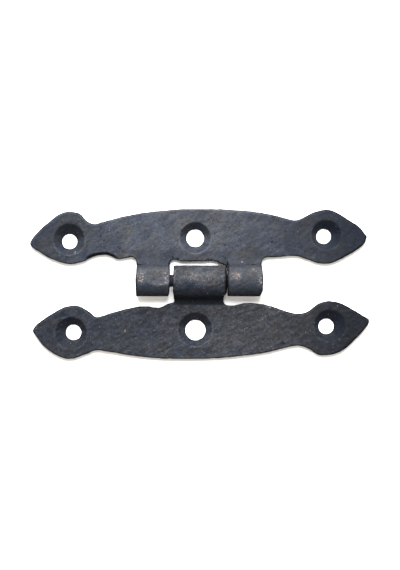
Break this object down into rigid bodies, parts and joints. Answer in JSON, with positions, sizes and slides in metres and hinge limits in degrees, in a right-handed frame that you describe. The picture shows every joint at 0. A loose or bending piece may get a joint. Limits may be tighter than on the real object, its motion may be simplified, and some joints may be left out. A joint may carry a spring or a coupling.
{
  "type": "h hinge",
  "caption": "Hand-forged black iron H hinge with spearhead leaf ends, countersunk screw holes and a riveted pin.",
  "frame": {"origin": "centre of the footprint, on the plane that the backs of both leaves lie on", "axes": "+X along the leaves and the pin, +Y towards the frame leaf, +Z out of the front face"},
  "size_m": [0.0898, 0.0398, 0.0082],
  "materials": {
    "frame_leaf_iron": "blackened, hammered, waxed",
    "door_leaf_iron": "blackened, hammered, waxed",
    "pin_iron": "blackened, worn"
  },
  "bodies": {
    "frame_leaf": {"frame_leaf": "frame_leaf_iron", "hinge_pin": "pin_iron"},
    "door_leaf": {"door_leaf": "door_leaf_iron"}
  },
  "joints": [
    {"name": "leaf_swing", "type": "hinge", "parent": "frame_leaf", "child": "door_leaf", "pos_m": [0, 0.00074, 0.0041], "axis": [-1, 0, 0], "range_deg": [0, 180]}
  ]
}
